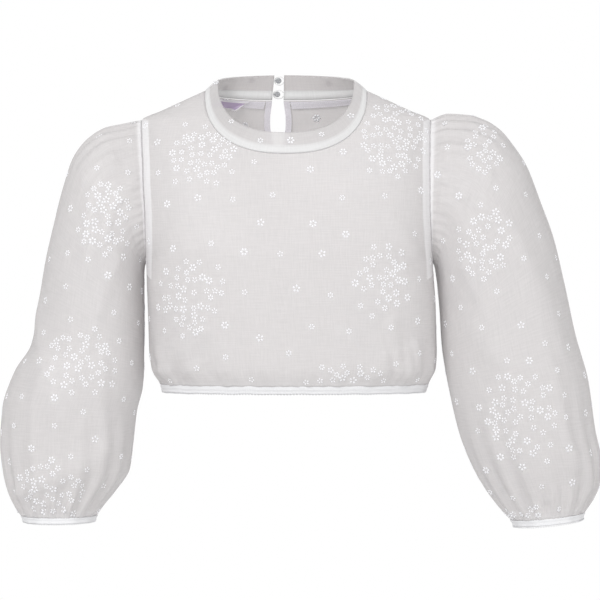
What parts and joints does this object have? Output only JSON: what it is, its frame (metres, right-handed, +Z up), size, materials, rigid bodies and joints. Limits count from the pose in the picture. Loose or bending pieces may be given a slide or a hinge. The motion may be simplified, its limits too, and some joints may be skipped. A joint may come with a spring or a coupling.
{
  "type": "dirndl blouse",
  "caption": "Short sheer blouse with puff sleeves, elastic cuffs and hem, a low stand collar and a buttoned keyhole at the back, in its worn shape.",
  "frame": {"origin": "middle of the neck opening at shoulder height, where the blouse hangs from the wearer's shoulders", "axes": "+X towards the wearer's left sleeve, +Y towards the back closing, +Z up; the front faces -Y"},
  "size_m": [0.69, 0.1982, 0.5236],
  "materials": {
    "organza": "sheer, crisp",
    "double_organza": "sheer, two layers",
    "elastic": "matt knit edging",
    "seam_tape": "matt binding",
    "label_satin": "satin weave",
    "crystal": "clear faceted"
  },
  "bodies": {
    "root": {"front": "organza", "back": "organza", "neckband": "double_organza", "sleeve_left": "organza", "sleeve_right": "organza", "cuff_left": "elastic", "cuff_right": "elastic", "hem_band": "elastic", "armhole_binding_front_left": "seam_tape", "armhole_binding_front_right": "seam_tape", "armhole_binding_back_left": "seam_tape", "armhole_binding_back_right": "seam_tape", "slit_facing_left": "seam_tape", "slit_facing_right": "seam_tape", "neck_facing_left": "seam_tape", "neck_facing_right": "seam_tape", "label": "label_satin", "button_upper": "crystal", "button_lower": "crystal", "loop_upper": "seam_tape", "loop_lower": "seam_tape"}
  },
  "joints": []
}
